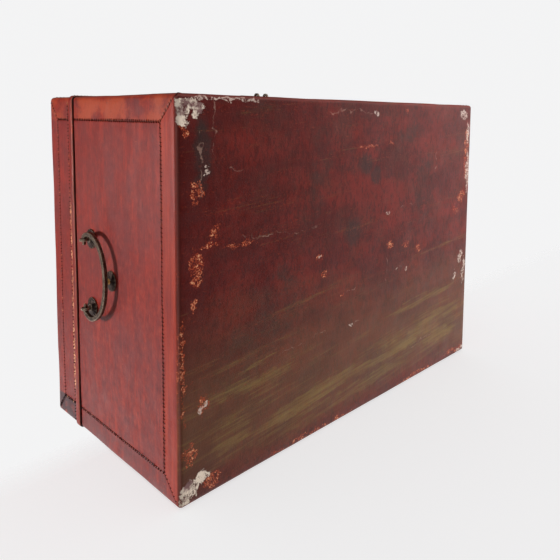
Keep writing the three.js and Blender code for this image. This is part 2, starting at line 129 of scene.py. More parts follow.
class Nodes:
    """The node tree of a material or world. Most calls add a node and give its output."""

    def __init__(self, owner):
        owner.use_nodes = True
        self.tree = owner.node_tree

    def feed(self, node, inputs):
        """Links a node's inputs to outputs, or sets them to plain values."""
        for key, value in inputs.items():
            if isinstance(value, bpy.types.NodeSocket):
                self.tree.links.new(value, node.inputs[key])
            else:
                node.inputs[key].default_value = value

    def add(self, kind, inputs=None, **settings):
        """Adds a node and gives the node itself."""
        node = self.tree.nodes.new(kind)
        for key, value in settings.items():
            setattr(node, key, value)
        self.feed(node, inputs or {})
        return node

    def maths(self, operation, a, b=0.0, c=0.0, **settings):
        return self.add("ShaderNodeMath", {0: a, 1: b, 2: c}, operation=operation, **settings).outputs[0]

    def times(self, a, b):
        return self.maths("MULTIPLY", a, b)

    def off(self, value, level=0.0):
        """How far a value is from a level."""
        return self.maths("ABSOLUTE", self.maths("SUBTRACT", value, level))

    def most(self, *values):
        """The largest of several values."""
        total = values[0]
        for value in values[1:]:
            total = self.maths("MAXIMUM", total, value)
        return total

    def rise(self, value, low, high, top=1.0):
        """0 below low, top above high and smooth between. It falls if low is above high."""
        inputs = {"Value": value, "From Min": low, "From Max": high, "To Max": top}
        return self.add("ShaderNodeMapRange", inputs, interpolation_type="SMOOTHSTEP").outputs[0]


class Finish(Nodes):
    """A piece's material. Places in it are the case's own, in millimetres."""

    def __init__(self, name):
        self.material = bpy.data.materials.new(name)
        super().__init__(self.material)
        coordinates = self.add("ShaderNodeTexCoord").outputs["Object"]
        self.place = self.vector("SCALE", coordinates, 1 / MM)
        self.x, self.y, self.z = self.add("ShaderNodeSeparateXYZ", {0: self.place}).outputs
        self.warped = None

    def total(self, *terms):
        """The sum of several (value, weight) pairs."""
        value = 0.0
        for term, weight in terms:
            value = self.maths("MULTIPLY_ADD", term, weight, value)
        return value

    def vector(self, operation, a, b):
        """The sum, difference or product of two vectors, or a vector scaled by a number."""
        second = "Scale" if operation == "SCALE" else 1
        return self.add("ShaderNodeVectorMath", {0: a, second: b}, operation=operation).outputs[0]

    def noise(self, waves, detail=3.0, rough=0.5, seed=0, place=None):
        """Noise with so many waves per millimetre, one number or one for each axis."""
        waves = waves if isinstance(waves, tuple) else (waves,) * 3
        place = self.vector("MULTIPLY", place or self.place, waves)
        place = self.vector("ADD", place, (seed * 7.3, seed * 3.1, seed * 5.7))
        inputs = {"Vector": place, "Scale": 1.0, "Detail": detail, "Roughness": rough}
        return self.add("ShaderNodeTexNoise", inputs).outputs["Fac"]

    def cells(self, waves):
        """Distance to the nearest of scattered points, so many per millimetre."""
        place = self.vector("SCALE", self.place, waves)
        return self.add("ShaderNodeTexVoronoi", {"Vector": place, "Scale": 1.0}).outputs["Distance"]

    def mix(self, share, a, b):
        return self.add("ShaderNodeMix", {0: share, 6: a, 7: b}, data_type="RGBA").outputs[2]

    def coat(self, colour, where, values, strength=None):
        """The colour with another over it, given by its screen values."""
        share = where if strength is None else self.times(where, strength)
        return self.mix(share, colour, tone(*values))

    def held(self, name):
        """A value that the mesh holds at each point."""
        return self.add("ShaderNodeAttribute", attribute_name=name).outputs["Fac"]

    def bump(self, height, distance, normal=None):
        """A bump of that depth in millimetres for a height of 0 to 1."""
        inputs = {"Height": height, "Strength": 1.0, "Distance": distance * MM}
        if normal is not None:
            inputs["Normal"] = normal
        return self.add("ShaderNodeBump", inputs).outputs["Normal"]

    def spot(self, centre, halves, turn=0.0):
        """A patch, oval but for some warping: 1 in its inner half, falling to 0 at its rim."""
        if not self.warped:
            wander = self.add("ShaderNodeTexNoise", {"Vector": self.place, "Scale": 0.11, "Detail": 4.0})
            wander = self.vector("SUBTRACT", wander.outputs["Color"], (0.5, 0.5, 0.5))
            self.warped = self.vector("ADD", self.place, self.vector("SCALE", wander, 14.0))
        inputs = {
            "Vector": self.warped,
            "Location": centre,
            "Rotation": (0.0, 0.0, math.radians(turn)),
            "Scale": halves,
        }
        place = self.add("ShaderNodeMapping", inputs, vector_type="TEXTURE").outputs[0]
        fall = self.add("ShaderNodeTexGradient", {0: place}, gradient_type="SPHERICAL").outputs[1]
        return self.rise(fall, 0.0, 0.5)

    def marks(self, rows):
        """Uneven patches on the underside, from rows of (x, y, half length, half width, turn)."""
        return self.most(*(self.spot((x, y, 0.0), (long, wide, THROUGH), turn)
                           for x, y, long, wide, turn in rows))

    def close(self, colour, roughness, normal, **values):
        """Sets the shader: colour, roughness and normal may be outputs, the values are numbers."""
        inputs = {"Base Color": colour, "Roughness": roughness, "Normal": normal}
        inputs.update((key.replace("_", " "), value) for key, value in values.items())
        self.feed(self.tree.nodes["Principled BSDF"], inputs)
        return self.material


THROUGH = 900.0  # half height of a mark, so that it goes through the whole case

# Marks on the underside, in millimetres: x, y, half length, half width, turn in degrees.
BARE = [  # worn to the pale hide
    (-196, -143, 19, 6, 0), (-201, -136, 8, 15, 0), (-188, -137, 9, 6, -40), (-196, 138, 12, 12, 0),
    (-186, 133, 10, 8, 40), (-203, 145, 8, 6, 0),
]
CHIPS = [  # small pale chips
    (-181, -95, 4, 6, 10), (188, -138, 12, 7, 0), (198, -118, 6, 18, 0),
    (200, -72, 6, 40, 0), (190, 30, 6, 12, 20), (198, 48, 5, 26, 4), (178, 51, 3, 11, 10),
    (41, -40, 6, 4, 20), (19, -139, 8, 4, 40), (-186, 79, 4, 7, 40), (197, 146, 14, 5, 0),
    (-59, -10, 3, 2, 0), (-14, 61, 3, 2, 0), (60, 22, 3, 2, 0), (76, 24, 4, 3, 0),
    (-160, -147, 50, 2, 0),
]
ORANGE = [  # colour gone, red-orange hide below
    (-200, -124, 5, 9, 0), (-190, -80, 9, 12, 0), (-173, -50, 6, 11, 30), (-178, -40, 12, 3, 0),
    (-190, -25, 9, 22, -6), (-193, 0, 5, 8, 0), (-197, 112, 9, 14, 0), (-176, 140, 12, 9, 0),
    (47, -7, 11, 8, 0), (74, -3, 11, 7, 0), (97, 5, 7, 7, 0), (-59, -10, 9, 4, 0), (-52, 5, 5, 6, 20),
    (188, -42, 12, 10, 0), (196, -95, 7, 52, 0), (176, -27, 12, 7, 0), (43, -109, 7, 3, 0),
    (8, -108, 22, 3, 0), (72, -143, 3, 6, 0), (180, 143, 30, 6, 0), (-27, 28, 5, 2, 0),
    (-150, -38, 24, 2.5, 0), (-185, 78, 7, 11, 0), (-203, 50, 4, 60, 0), (-60, 147, 90, 4, 0),
    (100, 147, 60, 4, 0),
]
SCRATCHES = [  # fine pale lines
    (-112, -40, 58, 1.0, 2), (-65, -40, 9, 1.4, 4), (-154, -95, 17, 0.6, 9), (14, -108, 40, 0.9, 0),
    (41, 16, 0.9, 26, 3), (-4, 60, 11, 1.1, -10), (-10, 62, 5, 1.1, -34), (-14, 29, 14, 0.9, -3),
    (-174, -128, 0.8, 40, 0), (-186, -100, 1.2, 36, 0), (80, -44, 26, 0.8, -8), (66, 18, 7, 0.9, 30),
    (-81, 60, 60, 0.6, -5), (130, -85, 0.7, 20, 0), (110, 110, 40, 0.7, -7), (-20, -140, 60, 1.2, 0),
]
STAINS = [(-12, -27, 15, 17, 0), (5, -91, 14, 13, 0), (21, -78, 10, 14, 0), (-184, -108, 10, 34, 0)]
DARK = [  # broad smudges
    (-110, -139, 46, 10, 0),
    (-183, -105, 9, 40, 0), (-105, 20, 44, 40, 20), (-150, 60, 30, 40, 0), (110, -60, 26, 60, 0),
    (-60, -100, 22, 40, 0), (-70, -60, 26, 22, 0), (60, -120, 60, 16, 0),
]
OLIVE = [  # dry yellow-green brush strokes
    (-157, 111, 26, 14, -6), (-160, 75, 34, 7, -3), (-120, 80, 40, 8, -4), (-128, 63, 34, 3, -8),
    (-60, 112, 90, 9, -5), (60, 105, 110, 9, -5), (150, 90, 60, 10, -5), (110, 64, 80, 8, -4),
    (145, 113, 50, 8, 0), (10, 125, 90, 8, -3), (-90, 128, 70, 8, -4),
]


def leather_grain(finish, level):
    """Pores, brush marks and a slight unevenness. Level is 1 where the lacquer is whole."""
    chips = finish.bump(level, 0.18)
    uneven = finish.bump(finish.noise(0.035, 2, 0.5, seed=9), 0.5, chips)
    coarse = finish.bump(finish.noise(0.55, 4, 0.6, seed=3), 0.10, uneven)
    return finish.bump(finish.cells(1.1), 0.05, coarse)


def side_colour(finish):
    """Red-brown lacquer brushed along the case, with orange streaks, a purple-grey tint in blotches that is partly
    the lacquer's own and partly painted sheen, and a fine mottling."""
    streak = finish.rise(finish.noise((0.012, 0.012, 0.13), 6, 0.68, seed=1), 0.44, 0.64)
    fine = finish.noise((0.05, 0.05, 0.8), 5, 0.7, seed=2)
    tint_and_sheen = finish.total((finish.noise((0.02, 0.02, 0.05), 4, 0.65, seed=4), 0.8), (fine, 0.2))
    mottle = finish.noise((0.16, 0.16, 0.3), 5, 0.75, seed=27)
    colour = finish.mix(finish.times(streak, 0.75), tone(112, 19, 10), tone(136, 30, 8))
    # Partly painted sheen: purple-grey blotches stand in for the room's reflection on the lacquer
    colour = finish.coat(colour, finish.rise(tint_and_sheen, 0.44, 0.60, 0.6), (96, 30, 30))
    colour = finish.coat(colour, finish.rise(mottle, 0.50, 0.68, 0.4), (148, 58, 34))
    dark = finish.total((finish.rise(fine, 0.54, 0.36), 0.4), (finish.rise(mottle, 0.50, 0.34), 0.4))
    colour = finish.coat(colour, dark, (62, 14, 12))
    fleck = finish.noise(0.9, 3, 0.6, seed=28)
    fleck = finish.total((fleck, 0.7), (finish.noise(0.09, 3, 0.6, seed=29), 0.5))
    return finish.coat(colour, finish.rise(fleck, 0.76, 0.82, 0.7), (186, 86, 44))


def worn(finish, colour, stripped=None, scuffed=None):
    """Chipped lacquer: red-orange hide, then pale, mostly on edges and corners, with a painted highlight along the
    rounded edges, and dirt in the seams. Two masks add wear: stripped to the pale hide, scuffed to the red. Gives
    the colour and how bare it is."""
    edge, corner, seam = finish.held("edge"), finish.held("corner"), finish.held("seam")
    stretch = finish.rise(finish.noise(0.03, 3, 0.6, seed=6), 0.42, 0.62)
    speck = finish.noise(0.8, 6, 0.74, seed=7)
    rubbed = finish.total((edge, 0.05), (finish.times(edge, stretch), 0.14), (corner, 0.12), (speck, 1.0))
    # Painted highlight: rounded edges are coloured lighter, as if catching the light
    colour = finish.coat(colour, finish.rise(edge, 0.55, 1.0, 0.4), (150, 64, 48))
    if scuffed:
        rubbed = finish.maths("ADD", rubbed, scuffed)
    colour = finish.coat(colour, finish.rise(rubbed, 0.73, 0.82), (184, 66, 26), 0.85)
    bare = finish.rise(rubbed, 0.91, 0.98)
    if stripped:
        torn = finish.total((stripped, 0.5), (speck, 0.7), (finish.noise(0.16, 5, 0.7, seed=5), 0.7))
        bare = finish.most(bare, finish.rise(torn, 1.08, 1.20))
    hide = finish.mix(finish.rise(finish.noise(0.1, 5, 0.6, seed=19), 0.36, 0.52), tone(128, 92, 90),
                      tone(236, 216, 196))
    colour = finish.mix(bare, colour, hide)
    return finish.coat(colour, finish.rise(seam, 0.2, 0.9), (52, 17, 15)), bare


def lacquer(finish, colour, bare):
    """Closes a leather: half glossy where the lacquer is whole, and duller where it is gone."""
    rough = finish.total((finish.noise(0.08, 3, 0.6, seed=8), 0.3), (bare, 0.35), (1.0, 0.24))
    normal = leather_grain(finish, finish.maths("SUBTRACT", 1.0, bare))
    return finish.close(colour, rough, normal, Specular_IOR_Level=0.5)


def sewn_chips(finish, colour):
    """Pale chips along the seam between the lid and the strip, mostly where it is handled."""
    handled = finish.rise(finish.off(finish.y, 32), 105, 80)
    handled = finish.times(handled, finish.rise(finish.x, 0, 20 - HALF_L))
    chips = finish.total((handled, 0.12), (finish.noise((0.2, 0.2, 0.3), 5, 0.7, seed=30), 1.0))
    near = finish.rise(finish.off(finish.z, BAND_HIGH), 3.0, 2.2)
    chips = finish.times(finish.rise(chips, 0.625, 0.68), near)
    return finish.coat(colour, chips, (222, 160, 116), 0.85)


def side_leather():
    """The sides and the lid. Small chips follow the seams."""
    finish = Finish("side_leather")
    off_fold = finish.off(finish.off(finish.y), FOLD_Y)
    off_base = finish.off(finish.z, BORDER)
    off_lid = finish.off(finish.z, LID_SEAM)
    off_seam = finish.maths("MINIMUM", finish.maths("MINIMUM", off_fold, off_base), off_lid)
    chips = finish.rise(off_seam, 3.5, 0.8, 0.13)
    # Borders folded round from the front are rubbed orange, and from the back are darker
    on_end = finish.rise(finish.off(finish.x), HALF_L - 12, HALF_L - 2)
    patch = finish.noise((0.05, 0.05, 0.04), 5, 0.7, seed=24)
    in_front = finish.times(on_end, finish.rise(finish.y, 1 - FOLD_Y, -1 - FOLD_Y))
    behind = finish.times(on_end, finish.rise(finish.y, FOLD_Y - 1, FOLD_Y + 1))
    orange = finish.times(in_front, finish.rise(patch, 0.42, 0.60))
    colour = finish.mix(finish.times(orange, 0.6), side_colour(finish), tone(158, 66, 34))
    purple = finish.most(finish.times(in_front, finish.rise(patch, 0.46, 0.34)),
                         finish.times(behind, finish.rise(patch, 0.36, 0.60)))
    colour = finish.coat(colour, purple, (88, 38, 38), 0.6)
    # Painted shade: the lid's border folded round from the back, lying by the floor, is darkened in patches
    lid_back_shade = finish.times(behind, finish.rise(finish.z, SPLIT + 4, SPLIT + 12))
    lid_back_shade = finish.times(lid_back_shade, finish.rise(finish.noise(0.09, 4, 0.6, seed=23), 0.28, 0.50))
    colour = finish.coat(colour, lid_back_shade, (40, 20, 26), 0.8)
    colour = sewn_chips(finish, colour)
    colour, bare = worn(finish, colour, scuffed=chips)
    return lacquer(finish, colour, bare)


def base_leather():
    """The underside's leather: mottled dark red below, orange-red where it folds up the sides."""
    finish = Finish("base_leather")
    below = finish.rise(finish.z, 4.0, 1.2)
    # The underside: clouds, then brush strokes that drift a little across the length
    drift = finish.maths("MULTIPLY_ADD", finish.x, 0.08, finish.y)
    strokes = finish.add("ShaderNodeCombineXYZ", {0: finish.x, 1: drift}).outputs[0]
    long_stroke = finish.noise((0.007, 0.11, 0.1), 6, 0.7, seed=11, place=strokes)
    fine_stroke = finish.noise((0.03, 0.6, 0.1), 4, 0.7, seed=12, place=strokes)
    cloud = finish.noise((0.014, 0.026, 0.1), 6, 0.68, seed=13)
    rust = finish.noise((0.03, 0.03, 0.1), 6, 0.7, seed=14)
    weave = finish.noise((0.45, 0.16, 0.1), 4, 0.7, seed=15)
    colour = finish.mix(finish.rise(cloud, 0.38, 0.62), tone(92, 18, 11), tone(120, 27, 16))
    brown = finish.total((rust, 0.75), (fine_stroke, 0.25))
    colour = finish.coat(colour, finish.rise(brown, 0.46, 0.64, 0.6), (88, 40, 28))
    colour = finish.coat(colour, finish.rise(weave, 0.54, 0.38, 0.6), (58, 12, 10))
    # Painted shade: the underside is coloured darker towards its left end, most at the very end
    left = finish.total((finish.rise(finish.x, 120, -200), 0.42), (finish.rise(finish.x, -158, -200), 0.4),
                        (finish.rise(cloud, 0.35, 0.65), -0.15))
    colour = finish.coat(colour, left, (76, 2, 0))
    smudge = finish.total((finish.marks(DARK), 0.2), (finish.noise(0.05, 5, 0.7, seed=16), 1.0))
    colour = finish.coat(colour, finish.rise(smudge, 0.58, 0.88, 0.6), (56, 34, 29))
    colour = finish.coat(colour, finish.marks(STAINS), (44, 36, 34), 0.55)
    # Lighter brown towards the back edge, short of the edge itself: partly khaki discolouration, partly painted
    # reflection of the floor
    low = finish.total((finish.rise(finish.y, -60, 110), 0.9),
                       (finish.rise(finish.y, 118, 146), -0.5), (cloud, 0.7), (long_stroke, 0.3))
    colour = finish.coat(colour, finish.rise(low, 0.65, 1.5, 0.55), (102, 72, 44))
    dry = finish.total((finish.marks(OLIVE), 0.15), (finish.rise(finish.y, 0, 120), 0.16),
                       (long_stroke, 1.0), (fine_stroke, 0.6))
    dry = finish.times(finish.rise(dry, 0.90, 1.28), finish.rise(finish.y, 146, 122))
    colour = finish.coat(colour, dry, (138, 112, 56), 0.62)
    bright = finish.total((finish.noise((0.35, 0.7, 0.1), 5, 0.75, seed=36), 0.8), (long_stroke, 0.3))
    colour = finish.coat(colour, finish.rise(bright, 0.60, 0.72, 0.4), (156, 56, 28))
    # Folded up the sides
    fold = finish.rise(finish.noise((0.03, 0.012, 0.22), 4, 0.6, seed=17), 0.35, 0.65)
    fold = finish.mix(fold, tone(112, 20, 8), tone(148, 42, 12))
    fold = finish.mix(0.3, fold, side_colour(finish))
    colour = finish.mix(below, fold, colour)
    scratch = finish.total((finish.marks(SCRATCHES), 0.45), (finish.noise(0.14, 5, 0.7, seed=18), 1.0))
    scratch = finish.times(finish.rise(scratch, 0.88, 1.08), below)
    colour = finish.coat(colour, scratch, (168, 132, 116), 0.5)
    flakes = finish.total((finish.marks(ORANGE), 0.30), (finish.noise(0.25, 3, 0.6, seed=25), 0.5),
                          (finish.noise(1.0, 3, 0.6, seed=26), 0.75))
    flaked = finish.times(finish.rise(flakes, 0.90, 0.97), below)
    colour = finish.coat(colour, flaked, (176, 66, 28), 0.8)
    colour = finish.coat(colour, finish.times(finish.rise(flakes, 1.0, 1.06), below), (222, 154, 112))
    chipped = finish.total((finish.marks(CHIPS), 0.36), (finish.noise(0.45, 5, 0.75, seed=35), 1.0))
    chipped = finish.times(finish.rise(chipped, 0.80, 0.90), below)
    colour = finish.coat(colour, chipped, (206, 182, 168), 0.9)
    colour, bare = worn(finish, colour, finish.times(finish.marks(BARE), below))
    return lacquer(finish, colour, bare)


def band_leather():
    """The strip's lower lip and the seam above it are worn in places, and the lip is painted lighter as a
    highlight. Under the lip, painted shade makes it dark.
    """
    finish = Finish("band_leather")
    near_seam = finish.rise(finish.z, BAND_HIGH - 2.6, BAND_HIGH - 1.2)
    lip = finish.rise(finish.z, BAND_LOW + 2.2, BAND_LOW + 1.2)
    stretch = finish.rise(finish.noise(0.02, 3, 0.6, seed=21), 0.45, 0.6)
    rubbed = finish.times(finish.most(near_seam, lip), stretch)
    # Painted highlight: the lower lip is coloured lighter all along
    colour = finish.mix(finish.times(lip, 0.6), side_colour(finish), tone(156, 84, 66))
    colour, bare = worn(finish, colour, scuffed=finish.times(rubbed, 0.33))
    sewn = finish.rise(finish.z, BAND_HIGH - 1.3, BAND_HIGH - 0.7, 0.75)
    colour = finish.coat(colour, finish.times(sewn, finish.maths("SUBTRACT", 1.0, bare)), (48, 22, 22))
    colour = sewn_chips(finish, colour)
    # Painted shade: the strip's inner return, in the gap under the lip, is near black red
    inside = finish.times(finish.rise(finish.off(finish.x), HALF_L, HALF_L - 0.6),
                          finish.rise(finish.off(finish.y), HALF_D, HALF_D - 0.6))
    colour = finish.coat(colour, inside, (40, 2, 2))
    return lacquer(finish, colour, bare)


def wood():
    """Old boards, near black towards their outer faces, which show where they meet at the joint."""
    finish = Finish("wood")
    rings = finish.noise((0.008, 0.3, 0.12), 5, 0.6, seed=31)
    across = finish.noise((0.3, 0.008, 0.12), 5, 0.6, seed=32)
    grain = finish.times(finish.maths("ADD", rings, across), 0.5)
    colour = finish.mix(finish.rise(grain, 0.38, 0.62), tone(88, 50, 28), tone(142, 98, 60))
    varnish = finish.rise(finish.noise(0.06, 4, 0.6, seed=33), 0.38, 0.5)
    colour = finish.coat(colour, varnish, (72, 20, 14), 0.85)
    outside = finish.most(finish.rise(finish.off(finish.x), HALF_L - 9, HALF_L - 7),
                          finish.rise(finish.off(finish.y), HALF_D - 9, HALF_D - 7))
    colour = finish.coat(colour, outside, (44, 3, 3))
    return finish.close(colour, 0.7, finish.bump(grain, 0.3), Specular_IOR_Level=0.3)


def lining():
    finish = Finish("lining")
    cloud = finish.noise(0.02, 4, 0.6, seed=41)
    colour = finish.mix(finish.rise(cloud, 0.35, 0.65), tone(88, 26, 22), tone(116, 40, 32))
    scuff = finish.rise(finish.noise(0.2, 5, 0.7, seed=42), 0.60, 0.72)
    colour = finish.coat(colour, scuff, (140, 74, 56), 0.5)
    normal = finish.bump(finish.cells(0.8), 0.05, finish.bump(finish.noise(0.05, 4, 0.6), 0.5))
    return finish.close(colour, 0.75, normal, Specular_IOR_Level=0.25)


def aged_metal(name, dark, light, rubbed, roughness, metallic=0.85):
    """Metal with a dark skin, rubbed to a lighter colour on its raised edges."""
    finish = Finish(name)
    skin = finish.mix(finish.rise(finish.noise(0.35, 5, 0.65, seed=51), 0.35, 0.65), dark, light)
    raised = finish.add("ShaderNodeNewGeometry").outputs["Pointiness"]
    raised = finish.rise(finish.maths("ADD", raised, finish.times(finish.noise(0.9, 3), 0.08)), 0.555, 0.60)
    colour = finish.mix(finish.times(raised, 0.8), skin, rubbed)
    rough = finish.maths("MULTIPLY_ADD", finish.noise(0.8, 4, 0.6, seed=52), 0.3, roughness - 0.15)
    normal = finish.bump(finish.noise(0.7, 4, 0.6, seed=53), 0.12)
    return finish.close(colour, rough, normal, Metallic=metallic)


def thread(name, dark, worn, share):
    """Waxed sewing thread: each stitch holds its own wear."""
    finish = Finish(name)
    wear = finish.rise(finish.held("wear"), 1 - share, 1 - share * 0.6)
    colour = finish.mix(wear, dark, worn)
    twist = finish.noise(3.0, 2, 0.5)
    colour = finish.coat(colour, twist, (30, 18, 16), 0.3)
    return finish.close(colour, 0.8, finish.bump(twist, 0.1), Specular_IOR_Level=0.2)


MATERIALS = {
    "side_leather": side_leather(),
    "base_leather": base_leather(),
    "band_leather": band_leather(),
    "wood": wood(),
    "lining": lining(),
    "bronze": aged_metal("bronze", tone(70, 56, 50), tone(120, 101, 86), tone(186, 164, 142), 0.42),
    "dark_plate": aged_metal("dark_plate", tone(50, 36, 33), tone(84, 66, 58), tone(128, 106, 90), 0.5),
    "brass": aged_metal("brass", tone(196, 142, 68), tone(238, 184, 100), tone(248, 212, 146), 0.38, 0.5),
}
BODY_THREAD = thread("body_thread", tone(58, 28, 25), tone(150, 84, 60), 0.08)
LID_THREAD = thread("lid_thread", tone(44, 22, 22), tone(206, 150, 112), 0.14)


# ---- Making pieces ------------------------------------------------------------------------
def piece(name, points, faces, material, body, slot, smooth=40, held=None):
    """A mesh object from millimetre points, riding on a body."""
    mesh = bpy.data.meshes.new(name)
    mesh.from_pydata([point * MM for point in points], [], faces)
    for key, values in (held or {}).items():
        mesh.attributes.new(key, "FLOAT", "POINT").data.foreach_set("value", values)
    turned = bmesh.new()
    turned.from_mesh(mesh)
    bmesh.ops.recalc_face_normals(turned, faces=turned.faces)
    turned.to_mesh(mesh)
    turned.free()
    mesh.polygons.foreach_set("use_smooth", [True] * len(mesh.polygons))
    mesh.set_sharp_from_angle(angle=math.radians(smooth))
    mesh.materials.append(material)
    made = show(name, mesh)
    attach(made, body)
    return made


def stand_in(node, points, faces, suffix, **options):
    """A piece that replaces a CAD node and takes its body, and its finish by its slot."""
    slot = SLOT_OF[node]
    made = piece(f"{node}_{suffix}", points, faces, MATERIALS[slot], BODY_OF[node], slot, **options)
    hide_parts(node)
    return made


# ---- Skins laid on the case's form --------------------------------------------------------
FINE = (0.0, 0.3, 0.9, 1.7, 2.6, EDGE)  # distances from an edge where it rounds off
STEP = 5.0  # between a skin's points
THICK = 1.2  # of a leather skin
WALL = 1.0  # thickness of a lining in the CAD
PRESSED = 2  # how far round the metalwork the leather stays flat
SETTLES = 12  # over what distance it then comes back to its own unevenness
DIP, SWELL = 0.55, 0.9  # how far the underside sinks and the lid's top rises in the middle
EDGE_WEAR, CORNER_WEAR = 7, 26  # how far wear reaches from edges and corners


def stations(low, high, steps=None):
    """Places from low to high, close together near both ends."""
    inner_low, inner_high = low + EDGE, high - EDGE
    steps = steps or max(1, round((inner_high - inner_low) / STEP))
    middle = [inner_low + (inner_high - inner_low) * i / steps for i in range(1, steps)]
    return [low + d for d in FINE] + middle + [high - d for d in reversed(FINE)]


def rounded(point, lows, highs, radius):
    """The spot on a round-edged box nearest a point of the sharp one, and the normal there."""
    core = Vector(max(low + radius, min(high - radius, at)) for at, low, high in zip(point, lows, highs))
    normal = (point - core).normalized()
    return core + normal * radius, normal


def on_case(point):
    """The spot on the rounded case nearest a point of the sharp-cornered one, and its normal."""
    return rounded(point, (-HALF_L, -HALF_D, 0), (HALF_L, HALF_D, TOP), EDGE)


HARDWARE = [box(node) for node in BODY_OF if node.endswith(("_rosette", "_leaf", "_plate"))]


def clear_of_hardware(point):
    """0 under the metalwork, where the leather stays flat, to 1 well away from it."""
    share = 1.0
    for low, high in HARDWARE:
        gap = Vector(max(low[i] - point[i], 0, point[i] - high[i]) for i in range(3)).length
        share = min(share, max(0.0, gap - PRESSED) / SETTLES)
    return share


def relief(place, normal):
    """How far the leather's surface stands off the ideal form, in millimetres."""
    wave = noise.noise(place * 0.018) * 0.45 + noise.noise(place * 0.06 + Vector((9, 4, 2))) * 0.16
    u, v = place.x / HALF_L, place.y / HALF_D
    if normal.z < -0.5:
        return -DIP * (1 - u ** 4) * (1 - v ** 4) - abs(wave) * 0.5
    swell = SWELL * (1 - u ** 4) * (1 - v ** 4) if normal.z > 0.9 else 0.0
    return min(0.15, wave * clear_of_hardware(place)) + swell


def edge_distances(point):
    """Distances to the three nearest face planes, the smallest first."""
    return sorted((HALF_L - abs(point.x), HALF_D - abs(point.y), min(point.z, TOP - point.z)))


def skin(node, grids, form=on_case, shape=relief, thick=THICK):
    """A closed skin over grids of sharp-case points. Free edges are rolled in at the seams."""
    index, sharp, quads = {}, [], []
    for rows in grids:
        numbered = []
        for row in rows:
            numbered.append([])
            for point in row:
                key = tuple(round(c, 3) for c in point)
                if key not in index:
                    index[key] = len(sharp)
                    sharp.append(point)
                numbered[-1].append(index[key])
        for row, after in zip(numbered, numbered[1:]):
            quads += [(row[i], row[i + 1], after[i + 1], after[i]) for i in range(len(row) - 1)]
    uses = {}
    for quad in quads:
        for a, b in zip(quad, quad[1:] + quad[:1]):
            uses.setdefault(frozenset((a, b)), []).append((a, b))
    rim = [pairs[0] for pairs in uses.values() if len(pairs) == 1]
    ring = {v: 0 for pair in rim for v in pair}
    for a, b in [pairs[0] for pairs in uses.values()]:
        for one, other in ((a, b), (b, a)):
            if ring.get(one) == 0 and other not in ring:
                ring[other] = 1
    drops, dirt = {0: 0.42, 1: 0.1}, {0: 1.0, 1: 0.3}  # at the free edge and one point in
    outer, inner, edge, corner, seam = [], [], [], [], []
    for i, point in enumerate(sharp):
        place, normal = form(point)
        height = shape(place, normal) - drops.get(ring.get(i), 0.0)
        outer.append(place + normal * height)
        inner.append(place - normal * thick)
        _, second, third = edge_distances(point)
        edge.append(max(0.0, 1 - second / EDGE_WEAR))
        corner.append(max(0.0, 1 - max(second, third) / CORNER_WEAR))
        seam.append(dirt.get(ring.get(i), 0.0))
    count = len(sharp)
    for point in outer + inner:
        point.z = max(point.z, 0.0)
    faces = quads + [tuple(count + v for v in reversed(quad)) for quad in quads]
    faces += [(a, count + a, count + b, b) for a, b in rim]
    held = {"edge": edge * 2, "corner": corner * 2, "seam": seam + [1.0] * count}
    return stand_in(node, outer + inner, faces, "skin", held=held)


def folded_grids(level, way, tall):
    """A level face and the four mitred borders folded from it, `way` up or down."""
    xs, ys = stations(-HALF_L, HALF_L), stations(-HALF_D, HALF_D)
    grids = [[[Vector((x, y, level)) for y in ys] for x in xs]]
    lean = BORDER / tall
    depths = stations(0, tall - SLIT / 2, 3)
    for side in (-1, 1):
        ends, fronts = [], []
        for depth in depths:
            short_y, short_x = 1 - depth * lean / HALF_D, 1 - depth * lean / HALF_L
            z = level + way * depth
            ends.append([Vector((side * HALF_L, y * short_y, z)) for y in ys])
            fronts.append([Vector((x * short_x, side * HALF_D, z)) for x in xs])
        grids += [ends, fronts]
    return grids


def wrapped_grids(side, low, high, tall, folds_at_top):
    """A front (-1) or back (1) leather that folds round onto both ends, mitred at one side."""
    reach = HALF_L + BORDER - SLIT / 2
    along = stations(-reach, -HALF_L, 3)[:-1] + stations(-HALF_L, HALF_L) + stations(HALF_L, reach, 3)[1:]
    steps = max(1, round((high - low - tall) / STEP))
    rows = []
    for s in along:
        past = max(0.0, abs(s) - HALF_L)
        x, y = (s, side * HALF_D) if past == 0 else (math.copysign(HALF_L, s), side * (HALF_D - past))
        fold = max(1.2, min(1.0, abs(abs(s) - HALF_L) / BORDER) * tall) + SLIT / 2
        bottom, top = (low, high - fold) if folds_at_top else (low + fold, high)
        rows.append([Vector((x, y, z)) for z in stations(bottom, top, steps)])
    return [rows]


def panel_grid(side, low, high):
    """An end panel between the wraps."""
    ys = stations(-FOLD_Y + SLIT / 2, FOLD_Y - SLIT / 2)
    zs = stations(low, high)
    return [[[Vector((side * HALF_L, y, z)) for z in zs] for y in ys]]


def add_leathers():
    skin("bottom_leather", folded_grids(0.0, 1, BORDER))
    skin("lid_top_leather", folded_grids(TOP, -1, LID_BORDER))
    for name, side in (("front", -1), ("back", 1)):
        skin(f"{name}_leather", wrapped_grids(side, 0.0, LEATHER_TOP, BORDER, False))
        skin(f"lid_{name}_leather", wrapped_grids(side, LID_LOW, TOP, LID_BORDER, True))
    for name, side in ENDS:
        skin(f"{name}_leather", panel_grid(side, BORDER + SLIT / 2, LEATHER_TOP))
        skin(f"lid_{name}_leather", panel_grid(side, LID_LOW, LID_SEAM - SLIT / 2))


def turns(count):
    """Angles of so many even steps round a circle."""
    return [2 * math.pi * k / count for k in range(count)]


def between(here, there, count):
    """Faces from one ring of so many points to another, from each ring's first point."""
    return [(here + k, here + (k + 1) % count, there + (k + 1) % count, there + k) for k in range(count)]


